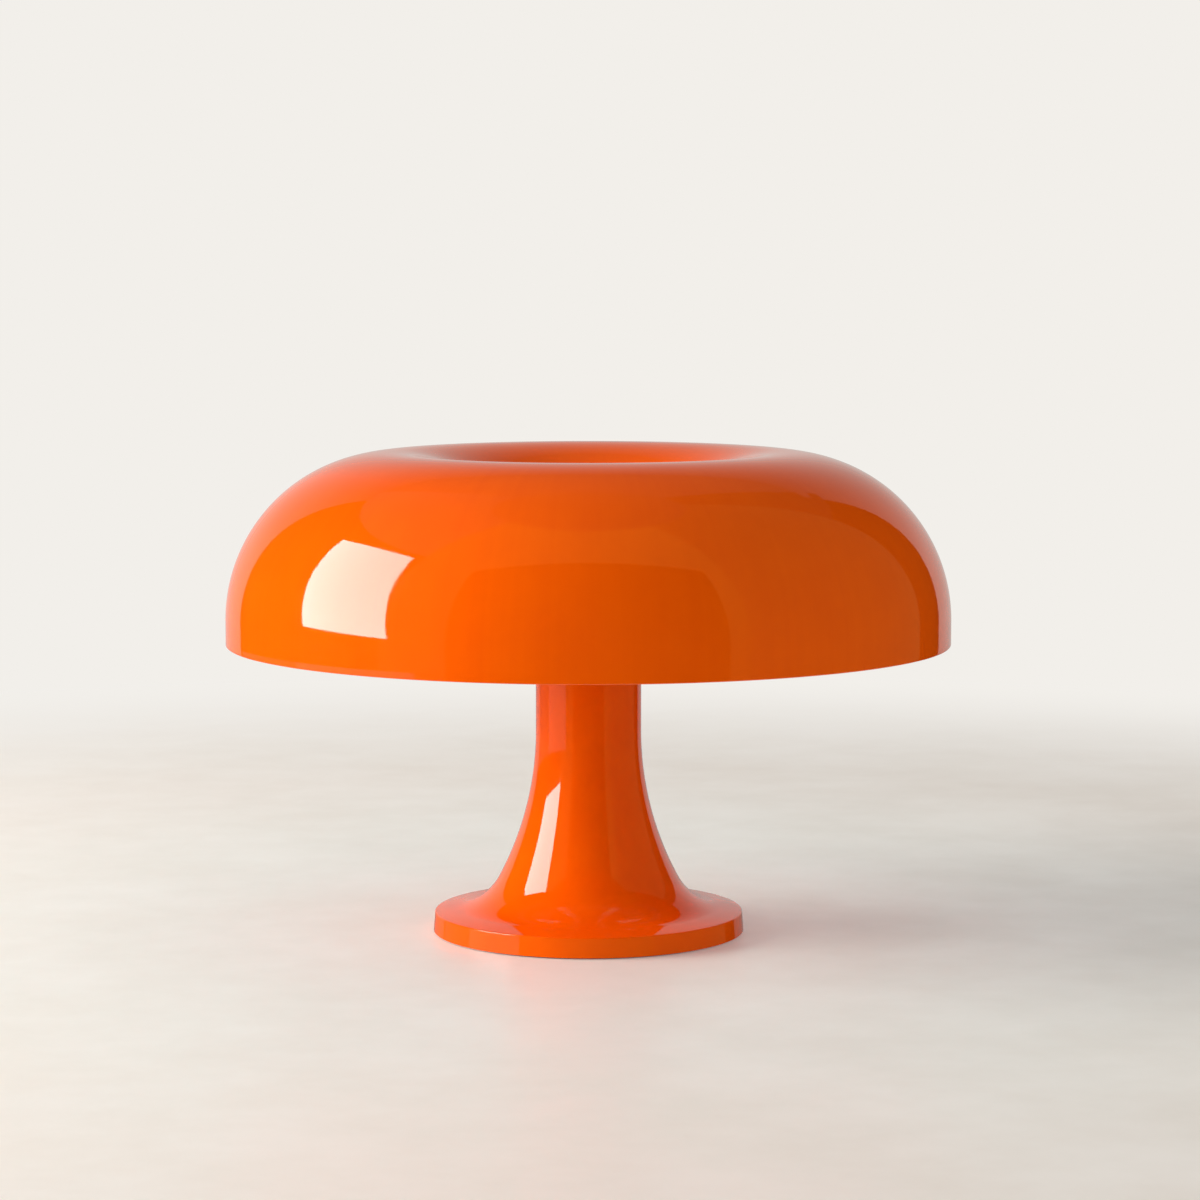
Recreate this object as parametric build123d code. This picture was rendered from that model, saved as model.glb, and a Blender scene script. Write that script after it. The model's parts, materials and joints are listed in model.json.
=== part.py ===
from build123d import *
import math
import os

# Mushroom table lamp, in millimetres.
# +Z is up, the origin is the centre of the foot on the table, and the front of the lamp is -Y.
# The cord inlet and the push button are at the back, +Y.

# Shade: a ring-shaped dome with a funnel down its middle
shade_radius = 270.0
shade_rim_height = 218.5
shade_skirt = 18.0
shade_top_height = 360.5
crest_radius = 146.0
shade_wall = 3.0
shade_floor_wall = 4.0
shade_neck = 0.5

# Pedestal: a plain stem that flares like a trumpet into a thin disc foot
stem_radius = 39.5
stem_top_height = 232.0
stem_head_wall = 4.0
foot_radius = 116.5
foot_edge_height = 16.5
foot_flat = 16.2
foot_slope = 6.0
foot_edge_round = 2.0
foot_shadow_gap = 1.0
flare_long_radius = 236.0
flare_long_turn = 28.3
pedestal_wall = 3.0

# Sheet-steel parts
base_plate_wall = 1.5
carrier_wall = 1.5
foot_pad_height = 2.0
foot_pad_width = 11.0

# Cap nut in the funnel
knob_radius = 16.0
knob_height = 19.0
knob_round = 7.0
flute_radius = 2.6
flute_count = 10

# Tie tube and its fasteners
tie_tube_radius = 5.0
tie_tube_bore = 4.0
tie_nut_flats = 17.0
tie_nut_height = 6.0
washer_wall = 1.5
washer_radius = 12.5

# Base screws, in bosses under the foot
base_screw_count = 5
base_screw_inset = 20.5
base_screw_radius = 1.4
base_screw_length = 12.0
boss_radius = 3.6

# Ballast under the flare, inside the terminal block
ballast_gap = 9.5
ballast_bottom = 18.0
ballast_rise = 6.0
ballast_slot = 16.0

# Lampholders, four round the stem head, pointing outwards and up
lamp_count = 4
lamp_first_angle = 45.0
lamp_tilt = 20.0
lamp_base_radius = 57.0
lamp_base_rise = 17.5
holder_radius = 14.0
holder_foot_radius = 13.0
holder_length = 34.0
socket_floor = 9.0
shell_bore = 7.05
shell_wall = 0.45
shell_top = 30.0
bulb_radius = 22.5
bulb_neck_radius = 8.3
bulb_neck_sweep = 18.0
bulb_glass_wall = 0.8
cap_collar_radius = 9.0

# Wiring inside the lamp
lead_radius = 1.0
hub_hole_circle = 22.0
hub_hole_radius = 4.8
window_width = 13.0
window_height = 9.5
seat_ring_height = 12.0
seat_ring_wall = 6.0
gasket_wall = 1.0
cap_washer_radius = 14.0
terminal_inset = 45.0
terminal_depth = 17.0
terminal_half = 13.0
connector_y = 24.0
connector_height = 16.0

# Push button at the back of the foot
button_angle = 108.0
button_inset = 12.5
button_radius = 6.0
button_proud = 3.2
button_travel = 2.5
button_wall = 1.2
switch_inner = 16.0
switch_outer = 7.0
switch_half = 9.0

# Cord inlet in the foot's rim
inlet_height = 8.6
inlet_bore = 3.1
inlet_body_radius = 4.15
inlet_flange_radius = 5.2

# Clearances
seat_gap = 0.3
slip_gap = 0.1
thread_gap = 0.35

# Worked-out sizes that several pieces share
base_screw_circle = foot_radius - base_screw_inset
button_circle = foot_radius - button_inset
plate_bottom = foot_pad_height
plate_top = plate_bottom + base_plate_wall
plate_radius = foot_radius - pedestal_wall - 0.5
hub_top = stem_top_height + carrier_wall
seat_height = hub_top + seat_ring_height + gasket_wall
shade_floor_top = seat_height + shade_floor_wall
tie_tube_top = shade_floor_top + 12.0
tie_tube_bottom = ballast_bottom - 3.0
neck_radius = stem_radius - shade_wall
neck_top = shade_floor_top + shade_neck
lamp_base_height = hub_top + lamp_base_rise
cap_thread_radius = shell_bore - thread_gap
terminal_near = foot_radius - terminal_inset
ballast_radius = terminal_near - ballast_gap
lamp_angles = [lamp_first_angle + i * 360.0 / lamp_count for i in range(lamp_count)]


# Small helpers

def turned(outline):
    """Solid of revolution about Z from a closed outline of radius and height."""
    return revolve(make_face(Plane.XZ * outline), Axis.Z)


def turned_points(points):
    """Solid of revolution about Z from the corners of its section."""
    return turned(Polyline(points, close=True))


def ring(inner, outer, bottom, top):
    """Flat ring or tube about Z."""
    return turned_points([(inner, bottom), (outer, bottom), (outer, top), (inner, top)])


def rod(radius, bottom, top, x=0.0, y=0.0):
    """Upright cylinder."""
    return Pos(x, y, bottom) * Cylinder(
        radius, top - bottom, align=(Align.CENTER, Align.CENTER, Align.MIN)
    )


def block(x_range, y_range, z_range):
    """Rectangular block between pairs of limits."""
    spans = (x_range, y_range, z_range)
    sizes = [high - low for low, high in spans]
    middle = [(high + low) / 2 for low, high in spans]
    return Pos(*middle) * Box(*sizes)


def polar(radius, angle, height, aside=0.0):
    """Point at a radius and angle about Z, moved aside along the tangent."""
    turn = math.radians(angle)
    return Vector(
        radius * math.cos(turn) - aside * math.sin(turn),
        radius * math.sin(turn) + aside * math.cos(turn),
        height,
    )


def lead(points, radii):
    """Round insulated lead along straight runs joined by arcs."""
    path = FilletPolyline(*points, radius=radii)
    start = path @ 0
    section = Plane(origin=start, z_dir=path % 0) * Circle(lead_radius)
    return sweep(section, path=path)


def hex_nut(bore, flats, height):
    """Hexagon nut with its top corners turned off."""
    corner = flats / math.sqrt(3)
    nut = extrude(RegularPolygon(corner, 6), height) - rod(bore, 0, height)
    crown = turned_points(
        [
            (0, 0),
            (corner, 0),
            (corner, height - 0.8),
            (corner - 1.4, height),
            (0, height),
        ]
    )
    return nut & crown


# Flare of the pedestal, shared by the moulding, the ballast and what stands under the foot

flare_end_turn = 90.0 - foot_slope
slope_drop = foot_flat * math.tan(math.radians(foot_slope))
long_spread = flare_long_radius * (1 - math.cos(math.radians(flare_long_turn)))
tight_share = math.cos(math.radians(flare_long_turn)) - math.cos(math.radians(flare_end_turn))
flare_tight_radius = (foot_radius - stem_radius - foot_flat - long_spread) / tight_share
tight_drop = flare_tight_radius * (
    math.sin(math.radians(flare_end_turn)) - math.sin(math.radians(flare_long_turn))
)
long_drop = flare_long_radius * math.sin(math.radians(flare_long_turn))
flare_start_height = foot_edge_height + slope_drop + tight_drop + long_drop
long_centre = (stem_radius + flare_long_radius, flare_start_height)
tight_reach = flare_long_radius - flare_tight_radius
tight_centre = (
    long_centre[0] - tight_reach * math.cos(math.radians(flare_long_turn)),
    long_centre[1] - tight_reach * math.sin(math.radians(flare_long_turn)),
)


def flare_point(centre, radius, turn, inset):
    """Point of one flare arc, moved into the wall by the inset."""
    angle = math.radians(turn)
    reach = radius + inset
    return (centre[0] - reach * math.cos(angle), centre[1] - reach * math.sin(angle))


def flare_arc(centre, radius, first, last, inset):
    """One arc of the flare between two turns."""
    turns = (first, (first + last) / 2, last)
    return ThreePointArc(*[flare_point(centre, radius, turn, inset) for turn in turns])


def flare_height(at_radius, inset):
    """Height of the flared surface, or of a surface inside it, at a radius beyond the stem."""
    slope_start = flare_point(tight_centre, flare_tight_radius, flare_end_turn, inset)
    if at_radius >= slope_start[0]:
        run = at_radius - slope_start[0]
        return slope_start[1] - run * math.tan(math.radians(foot_slope))
    long_end = flare_point(long_centre, flare_long_radius, flare_long_turn, inset)
    centre, radius = tight_centre, flare_tight_radius
    if at_radius < long_end[0]:
        centre, radius = long_centre, flare_long_radius
    reach = centre[0] - at_radius
    return centre[1] - math.sqrt((radius + inset) ** 2 - reach**2)


def flare_lines(inset, top, edge_radius, edge_round):
    """Stem line, both flare arcs, the foot's slope and its rounded edge, from the top down."""
    slope_start = flare_point(tight_centre, flare_tight_radius, flare_end_turn, inset)
    edge = (edge_radius, flare_height(edge_radius, inset))
    low = (edge_radius, foot_shadow_gap)
    return [
        Line((stem_radius - inset, top), (stem_radius - inset, flare_start_height)),
        flare_arc(long_centre, flare_long_radius, 0, flare_long_turn, inset),
        flare_arc(tight_centre, flare_tight_radius, flare_long_turn, flare_end_turn, inset),
        FilletPolyline(slope_start, edge, low, radius=edge_round),
    ]


# Pedestal moulding: stem, flare and foot in one piece, open underneath

def make_pedestal():
    inner_edge = foot_radius - pedestal_wall
    head_bottom = stem_top_height - stem_head_wall
    tube_hole = tie_tube_radius + seat_gap
    outside = flare_lines(0, stem_top_height, foot_radius, foot_edge_round)
    inside = flare_lines(pedestal_wall, head_bottom, inner_edge, 0.5)
    outline = Curve() + outside + inside + [
        Line((foot_radius, foot_shadow_gap), (inner_edge, foot_shadow_gap)),
        Polyline(
            (stem_radius - pedestal_wall, head_bottom),
            (tube_hole, head_bottom),
            (tube_hole, stem_top_height),
            (stem_radius, stem_top_height),
        ),
    ]
    body = turned(outline)

    # Screw bosses grow out of the foot's underside
    boss_top = flare_height(base_screw_circle + boss_radius, 0) - 1.0
    for place in PolarLocations(base_screw_circle, base_screw_count, start_angle=-90):
        spot = place.position
        pilot_top = plate_top + base_screw_length - 2
        body += rod(boss_radius, plate_top, boss_top, spot.X, spot.Y)
        body -= rod(base_screw_radius + slip_gap, plate_top, pilot_top, spot.X, spot.Y)

    # Lead holes through the stem head
    for angle in lamp_angles:
        spot = polar(hub_hole_circle, angle, 0)
        body -= rod(hub_hole_radius, head_bottom, stem_top_height, spot.X, spot.Y)

    # Push button hole and cord inlet hole at the back
    spot = polar(button_circle, button_angle, 0)
    body -= rod(button_radius + seat_gap, plate_top, foot_edge_height + 10, spot.X, spot.Y)
    inlet = Cylinder(inlet_body_radius + 0.05, 4 * pedestal_wall, rotation=(90, 0, 0))
    body -= Pos(0, foot_radius, inlet_height) * inlet
    return body


# Shade moulding: skirt, shoulder, crest, funnel and neck in one piece

def quarter_arc(centre, across, upward, start):
    """Quarter turn between two reaches from a centre: a circle where they are equal."""
    if abs(across - upward) < 0.01:
        return CenterArc(centre, across, start, 90)
    return EllipticalCenterArc(centre, across, upward, start_angle=start, arc_size=90)


def shade_curve(inset):
    """Skirt top to neck along one surface of the shade, over the crest."""
    shoulder_low = shade_rim_height + shade_skirt
    shoulder = quarter_arc(
        (crest_radius, shoulder_low),
        shade_radius - crest_radius - inset,
        shade_top_height - shoulder_low - inset,
        0,
    )
    funnel = quarter_arc(
        (crest_radius, neck_top),
        crest_radius - neck_radius - inset,
        shade_top_height - neck_top - inset,
        90,
    )
    return [shoulder, funnel]


def make_shade():
    skirt_top = shade_rim_height + shade_skirt
    rim_inner = shade_radius - shade_wall
    hole = tie_tube_radius + 2.0
    outline = Curve() + shade_curve(0) + shade_curve(shade_wall) + [
        FilletPolyline(
            (shade_radius, skirt_top),
            (shade_radius, shade_rim_height),
            (rim_inner, shade_rim_height),
            (rim_inner, skirt_top),
            radius=shade_wall * 0.3,
        ),
        Polyline(
            (neck_radius, neck_top),
            (neck_radius, shade_floor_top),
            (hole, shade_floor_top),
            (hole, seat_height),
            (stem_radius, seat_height),
            (stem_radius, neck_top),
        ),
    ]
    return turned(outline)


# Cap nut: a moulded knob with finger flutes that screws onto the tie tube

def make_cap_nut():
    bottom = shade_floor_top + gasket_wall
    top = bottom + knob_height
    blind = tie_tube_top + 1.5
    bore = tie_tube_radius + seat_gap
    outline = Curve() + [
        FilletPolyline((0, top), (knob_radius, top), (knob_radius, bottom), radius=knob_round),
        Polyline((knob_radius, bottom), (bore, bottom), (bore, blind), (0, blind), (0, top)),
    ]
    knob = turned(outline)
    for place in PolarLocations(knob_radius + flute_radius * 0.6, flute_count):
        spot = place.position
        knob -= rod(flute_radius, bottom - 1, top + 1, spot.X, spot.Y)
    return knob


# Ballast: a cast weight that follows the inside of the flare, slotted for the leads

ballast_top = flare_height(ballast_radius, pedestal_wall + seat_gap) + ballast_rise


def make_ballast():
    inset = pedestal_wall + seat_gap
    edge = foot_radius - inset
    room_outline = Curve() + flare_lines(inset, stem_top_height, edge, 0.5) + [
        Polyline(
            (stem_radius - inset, stem_top_height),
            (0, stem_top_height),
            (0, foot_shadow_gap),
            (edge, foot_shadow_gap),
        ),
    ]
    casting = turned(room_outline) & rod(ballast_radius, ballast_bottom, ballast_top)
    casting -= rod(tie_tube_radius + seat_gap, ballast_bottom, ballast_top)

    # Recess for the lower tie nut and its washer
    recess_radius = tie_nut_flats / math.sqrt(3) + 4
    recess_top = tie_tube_bottom + 2 + tie_nut_height + washer_wall
    casting -= rod(recess_radius, ballast_bottom, recess_top)

    # Slot for the leads, open to the back
    slot = block(
        (-ballast_slot / 2, ballast_slot / 2),
        (recess_radius + 6, foot_radius),
        (ballast_bottom - 1, ballast_top + 1),
    )
    return casting - slot


# Base plate: a pressed steel disc with a stiffening step, and the rubber pad under its edge

def make_base_plate():
    step = 1.0
    step_outer = ballast_radius
    step_inner = step_outer - 3.0
    plate = turned_points(
        [
            (0, plate_bottom - step),
            (step_inner, plate_bottom - step),
            (step_outer, plate_bottom),
            (plate_radius, plate_bottom),
            (plate_radius, plate_top),
            (step_outer - 0.6, plate_top),
            (step_inner - 0.6, plate_top - step),
            (0, plate_top - step),
        ]
    )
    for place in PolarLocations(base_screw_circle, base_screw_count, start_angle=-90):
        spot = place.position
        plate -= rod(base_screw_radius + 0.3, 0, plate_top, spot.X, spot.Y)
    return plate


def make_foot_pad():
    return ring(plate_radius - foot_pad_width, plate_radius, 0, plate_bottom)


def make_base_screws():
    head_height = 1.5
    head_radius = 2.8
    screws = []
    for place in PolarLocations(base_screw_circle, base_screw_count, start_angle=-90):
        spot = place.position
        head_low = plate_bottom - head_height
        screw = rod(head_radius, head_low, plate_bottom, spot.X, spot.Y)
        screw += rod(base_screw_radius, plate_bottom, head_low + base_screw_length, spot.X, spot.Y)
        screw -= rod(head_radius * 0.45, head_low, head_low + 0.8, spot.X, spot.Y)
        screws.append(screw)
    return screws


# Tie tube, its two nuts and their washers

def make_tie_tube():
    return ring(tie_tube_bore, tie_tube_radius, tie_tube_bottom, tie_tube_top)


def make_tie_nuts():
    bore = tie_tube_radius + slip_gap
    nut = hex_nut(bore, tie_nut_flats, tie_nut_height)
    low = Pos(0, 0, tie_tube_bottom + 2 + tie_nut_height) * Rot(180, 0, 0) * nut
    high = Pos(0, 0, hub_top + washer_wall) * nut
    return [low, high]


def make_tie_washers():
    hole = tie_tube_radius + slip_gap
    low = tie_tube_bottom + 2 + tie_nut_height
    return [
        ring(hole, washer_radius, low, low + washer_wall),
        ring(hole, washer_radius, hub_top, hub_top + washer_wall),
    ]


# Lamp carrier: a steel spider with four bent-up tabs that hold the lampholders

def lamp_plane(angle):
    """Plane of a lampholder's foot: its normal is the bulb's axis, its y runs up the tab."""
    tilt = math.radians(lamp_tilt)
    turn = math.radians(angle)
    out = Vector(
        math.cos(turn) * math.cos(tilt),
        math.sin(turn) * math.cos(tilt),
        math.sin(tilt),
    )
    aside = Vector(-math.sin(turn), math.cos(turn), 0)
    origin = polar(lamp_base_radius, angle, lamp_base_height)
    return Plane(origin=origin, x_dir=aside, z_dir=out)


def make_carrier():
    tab_width = 2 * holder_foot_radius
    lean = math.radians(lamp_tilt)
    middle = hub_top - carrier_wall / 2
    tab_top = holder_foot_radius
    half = carrier_wall / 2
    sheet_radius = lamp_base_radius - half * math.cos(lean)
    sheet_height = lamp_base_height - half * math.sin(lean)
    drop = (sheet_height - middle) / math.cos(lean)
    bend = (sheet_radius + drop * math.sin(lean), middle)
    tip = (sheet_radius - tab_top * math.sin(lean), sheet_height + tab_top * math.cos(lean))
    strip = FilletPolyline((hub_hole_circle, middle), bend, tip, radius=3.0)
    arm = extrude(Plane.XZ * trace(strip, carrier_wall), tab_width / 2, both=True)
    carrier = ring(tie_tube_radius + slip_gap, stem_radius, stem_top_height, hub_top)
    for angle in lamp_angles:
        carrier += Rot(0, 0, angle) * arm
    for angle in lamp_angles:
        spot = polar(hub_hole_circle, angle, 0)
        carrier -= rod(hub_hole_radius, stem_top_height, hub_top, spot.X, spot.Y)
        for x, y, radius in tab_holes():
            hole = Cylinder(radius, 4 * carrier_wall)
            carrier -= lamp_plane(angle) * Pos(x, y, 0) * hole
    return carrier


def tab_holes():
    """Screw hole and the two lead holes through a tab, in the tab's own plane."""
    return [(0, 4, 1.7), (-5, -6, 1.6), (5, -6, 1.6)]


# Seat ring: carries the shade's neck, with a window over each arm for the leads

def make_seat_ring():
    inner = stem_radius - seat_ring_wall
    body = ring(inner, stem_radius, hub_top, hub_top + seat_ring_height)
    for angle in lamp_angles:
        window = block(
            (inner - 2, stem_radius + 2),
            (-window_width / 2, window_width / 2),
            (hub_top, hub_top + window_height),
        )
        body -= Rot(0, 0, angle) * window
    return body


def make_seat_gasket():
    top = hub_top + seat_ring_height
    inner = stem_radius - seat_ring_wall
    return ring(inner + 0.5, stem_radius - 0.5, top, top + gasket_wall)


def make_cap_washer():
    top = shade_floor_top + gasket_wall
    return ring(tie_tube_radius + 1.0, cap_washer_radius, shade_floor_top, top)


# Lampholder: a moulded barrel with a brass screw shell and a sprung centre contact

contact_top = socket_floor + 2.4


def make_lampholder():
    mouth = cap_collar_radius + 0.7
    socket = shell_bore + shell_wall + slip_gap
    barrel = turned_points(
        [
            (0, 0),
            (holder_foot_radius, 0),
            (holder_foot_radius, 10),
            (holder_radius, 12),
            (holder_radius, holder_length - 1),
            (holder_radius - 1, holder_length),
            (mouth, holder_length),
            (mouth, shell_top + 2),
            (socket, shell_top),
            (socket, socket_floor),
            (0, socket_floor),
        ]
    )
    # Grip ribs round the barrel
    for place in PolarLocations(holder_radius + 0.5, 16):
        spot = place.position
        barrel -= rod(1.0, 14, holder_length + 1, spot.X, spot.Y)
    for x, y, radius in tab_holes():
        barrel -= rod(radius - 0.1, 0, 7, x, y)
    return barrel


def make_screw_shell():
    return ring(shell_bore, shell_bore + shell_wall, socket_floor + 0.3, shell_top)


def make_contact():
    disc = rod(4.5, socket_floor, socket_floor + 0.8)
    dome = rod(2.2, socket_floor + 0.8, contact_top)
    return disc + fillet(dome.edges().sort_by(Axis.Z)[-1], 1.0)


def make_holder_screw():
    back = -carrier_wall
    x, y, radius = tab_holes()[0]
    head = rod(2.9, back - 2.2, back, x, y)
    head -= rod(1.3, back - 2.2, back - 1.0, x, y)
    return head + rod(radius - 0.3, back, 6, x, y)


# Bulb: an opal glass ball on a small screw cap

cap_tip = contact_top + seat_gap
cap_top = holder_length + 5.0
neck_centre = (bulb_neck_radius + bulb_neck_sweep, cap_top - 2.5)
ball_reach = bulb_radius + bulb_neck_sweep
ball_height = neck_centre[1] + math.sqrt(ball_reach**2 - neck_centre[0] ** 2)


def glass_curve(inset):
    """Neck and ball of the bulb along one surface of the glass."""
    join = math.degrees(math.asin((ball_height - neck_centre[1]) / ball_reach))
    neck = CenterArc(neck_centre, bulb_neck_sweep + inset, 180 - join, join)
    ball = CenterArc((0, ball_height), bulb_radius - inset, -join, 90 + join)
    return [neck, ball]


def make_bulb_glass():
    outline = Curve() + glass_curve(0) + glass_curve(bulb_glass_wall) + [
        Line(
            (bulb_neck_radius, neck_centre[1]),
            (bulb_neck_radius - bulb_glass_wall, neck_centre[1]),
        ),
        Line(
            (0, ball_height + bulb_radius),
            (0, ball_height + bulb_radius - bulb_glass_wall),
        ),
    ]
    return turned(outline)


def make_bulb_cap():
    collar_wall = 0.4
    return turned_points(
        [
            (0, cap_tip),
            (2.4, cap_tip),
            (2.4, cap_tip + 0.8),
            (5.0, cap_tip + 2.6),
            (cap_thread_radius, cap_tip + 3.2),
            (cap_thread_radius, shell_top + 1),
            (cap_collar_radius, shell_top + 4),
            (cap_collar_radius, cap_top),
            (cap_collar_radius - collar_wall, cap_top),
            (cap_collar_radius - collar_wall, neck_centre[1] - 0.5),
            (0, neck_centre[1] - 0.5),
        ]
    )


# Push button, and the switch under it with its sprung plunger

ceiling = flare_height(button_circle + button_radius + 1.5, pedestal_wall)
flange_top = ceiling - seat_gap
flange_wall = 1.5
switch_top = flange_top - flange_wall - button_travel - seat_gap
button_top = flare_height(button_circle, 0) + button_proud
button_roof = button_top - 2.0


def make_push_button():
    flange = button_radius + 1.5
    low = flange_top - flange_wall
    hollow = button_radius - button_wall
    outline = Polyline(
        (0, button_top),
        (button_radius - 1.6, button_top),
        (button_radius, button_top - 1.6),
        (button_radius, flange_top),
        (flange, flange_top),
        (flange, low),
        (hollow, low),
        (hollow, button_roof),
        (0, button_roof),
        close=True,
    )
    button = turned(outline)
    spot = polar(button_circle, button_angle, 0)
    return Pos(spot.X, spot.Y, 0) * button


def switch_place():
    """Placement of the switch: x runs outwards along the foot's radius."""
    return Rot(0, 0, button_angle) * Pos(button_circle, 0, 0)


def make_switch_body():
    length = (-switch_inner, switch_outer)
    body = block(length, (-switch_half, switch_half), (plate_top, switch_top))
    body = fillet(body.edges().filter_by(Axis.Z), 1.5)
    body += rod(2.0, switch_top, button_roof - button_travel - seat_gap)
    body += rod(2.8, switch_top, switch_top + 0.8)
    return switch_place() * body


# Terminal block between the ballast and the rim, with brass screws in its top

terminal_top = flare_height(terminal_near + terminal_depth + 1, pedestal_wall) - 2.0


def terminal_screw_places():
    middle = terminal_near + terminal_depth / 2
    return [(x, middle + y) for x in (-6.5, 6.5) for y in (-4.5, 4.5)]


def make_terminal_block():
    far = terminal_near + terminal_depth
    body = block((-terminal_half, terminal_half), (terminal_near, far), (plate_top, terminal_top))
    body -= block((-1.0, 1.0), (terminal_near, far), (terminal_top - 4, terminal_top))
    for x, y in terminal_screw_places():
        body -= rod(2.2, terminal_top - 4, terminal_top, x, y)
    return body


def make_terminal_screws():
    screws = []
    for x, y in terminal_screw_places():
        screw = rod(2.0, terminal_top - 4, terminal_top - 1, x, y)
        slot = Pos(x, y, terminal_top - 1.3) * Box(5, 0.6, 0.8)
        screws.append(screw - slot)
    return screws


# Leads inside the lamp

connector_bottom = stem_top_height - stem_head_wall - 34.0
connector_top = connector_bottom + connector_height


def make_switch_leads():
    """Two leads, one above the other, from the side of the block to the inner end of the switch."""
    start_y = terminal_near + 5.5
    turn_radius = start_y / math.sin(math.radians(button_angle))
    leads = []
    for height in (plate_top + 1.4, plate_top + 3.9):
        start = Vector(-terminal_half, start_y, height)
        turn = polar(turn_radius, button_angle, height)
        end = polar(button_circle - switch_inner, button_angle, height)
        leads.append(lead([start, turn, end], [3.0]))
    return leads


def make_stem_leads():
    low = ballast_bottom - 8.0
    leads = []
    for x in (-2.2, 2.2):
        points = [
            (x, terminal_near, low),
            (x, terminal_near - 12.0, low),
            (x, 34.0, ballast_bottom + 14.0),
            (x, 26.0, ballast_top + 30.0),
            (x, connector_y, ballast_top + 90.0),
            (x, connector_y, connector_bottom),
        ]
        leads.append(lead(points, [8.0, 20.0, 60.0, 60.0]))
    return leads


def make_stem_connector():
    depth = (connector_y - 6.5, connector_y + 6.5)
    body = block((-10, 10), depth, (connector_bottom, connector_top))
    return fillet(body.edges().filter_by(Axis.Z), 1.5)


def make_lamp_leads(index):
    """Two leads from the connector, through the stem head and the seat ring, to one lampholder."""
    angle = lamp_angles[index]
    start_x = (7.5, -7.5, -2.5, 2.5)[index]
    leads = []
    for side in (-1, 1):
        start_y = connector_y + 3.0 * side * (1 if start_x > 0 else -1)
        hole_low = polar(hub_hole_circle, angle, stem_top_height - stem_head_wall - 4.5, 2.2 * side)
        hole_high = polar(hub_hole_circle, angle, hub_top + 5.5, 2.2 * side)
        plane = lamp_plane(angle)
        behind = plane.from_local_coords(Vector(5 * side, -6, -12))
        inside = plane.from_local_coords(Vector(5 * side, -6, 5))
        points = [
            (start_x, start_y, connector_top),
            (start_x, start_y, connector_top + 5.0),
            hole_low,
            hole_high,
            behind,
            inside,
        ]
        leads.append(lead(points, [2.5, 2.5, 3.5, 3.0]))
    return leads


# Cord inlet bush in the rim

def make_inlet_bush():
    flange = 1.5
    outer = foot_radius
    inner = foot_radius - pedestal_wall - 0.2
    bush = turned_points(
        [
            (inlet_bore, inner - 3.5),
            (inlet_flange_radius - 0.5, inner - 3.5),
            (inlet_flange_radius - 0.3, inner),
            (inlet_body_radius, inner),
            (inlet_body_radius, outer),
            (inlet_flange_radius, outer),
            (inlet_flange_radius - 0.5, outer + flange),
            (inlet_bore, outer + flange),
        ]
    )
    return Pos(0, 0, inlet_height) * Rot(-90, 0, 0) * bush


# Write every piece to its own file

def save(name, shapes):
    """Write one node: a single solid, or a group of separate solids."""
    if isinstance(shapes, list):
        shapes = Compound(children=shapes)
    export_step(shapes, f"parts/{name}.step")


os.makedirs("parts", exist_ok=True)

save("shade", make_shade())
save("shade_cap_nut", make_cap_nut())
save("shade_cap_washer", make_cap_washer())
save("pedestal", make_pedestal())
save("seat_ring", make_seat_ring())
save("seat_gasket", make_seat_gasket())
save("lamp_carrier", make_carrier())
save("tie_tube", make_tie_tube())
save("tie_nuts", make_tie_nuts())
save("tie_washers", make_tie_washers())
save("ballast", make_ballast())
save("base_plate", make_base_plate())
save("base_screws", make_base_screws())
save("foot_pad", make_foot_pad())
save("push_button", make_push_button())
save("switch_body", make_switch_body())
save("terminal_block", make_terminal_block())
save("terminal_screws", make_terminal_screws())
save("inlet_bush", make_inlet_bush())
save("switch_leads", make_switch_leads())
save("stem_leads", make_stem_leads())
save("stem_connector", make_stem_connector())

for index, angle in enumerate(lamp_angles):
    place = lamp_plane(angle).location
    number = index + 1
    save(f"lampholder_{number}", place * make_lampholder())
    save(f"screw_shell_{number}", place * make_screw_shell())
    save(f"centre_contact_{number}", place * make_contact())
    save(f"bulb_glass_{number}", place * make_bulb_glass())
    save(f"bulb_cap_{number}", place * make_bulb_cap())
    save(f"lamp_leads_{number}", make_lamp_leads(index))

holder_screws = [lamp_plane(angle).location * make_holder_screw() for angle in lamp_angles]
save("holder_screws", holder_screws)
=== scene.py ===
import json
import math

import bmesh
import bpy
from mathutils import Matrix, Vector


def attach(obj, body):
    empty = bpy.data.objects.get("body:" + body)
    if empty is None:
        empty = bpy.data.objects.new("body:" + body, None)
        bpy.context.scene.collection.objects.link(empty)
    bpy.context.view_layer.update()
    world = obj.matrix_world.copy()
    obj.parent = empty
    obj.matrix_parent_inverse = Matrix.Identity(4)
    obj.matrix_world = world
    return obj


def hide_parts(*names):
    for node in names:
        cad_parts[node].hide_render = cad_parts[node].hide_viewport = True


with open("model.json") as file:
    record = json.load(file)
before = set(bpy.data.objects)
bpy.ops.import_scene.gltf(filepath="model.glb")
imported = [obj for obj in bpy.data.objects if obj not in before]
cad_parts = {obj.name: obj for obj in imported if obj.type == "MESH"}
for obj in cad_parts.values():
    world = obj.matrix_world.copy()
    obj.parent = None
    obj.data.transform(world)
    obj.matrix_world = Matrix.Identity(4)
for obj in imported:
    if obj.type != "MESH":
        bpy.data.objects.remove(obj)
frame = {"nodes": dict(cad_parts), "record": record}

# %% [markdown]
# # A mushroom table lamp
# The lamp is a ring-shaped shade with a funnel down its middle, on a trumpet-shaped pedestal.
# Both are glossy orange plastic, and that gloss is most of what the eye sees.
# So two things matter here: curves with no facets, and a studio worth reflecting.
# The CAD model gives every size and place. This script adds finer meshes, finishes, light and a camera.

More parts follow.
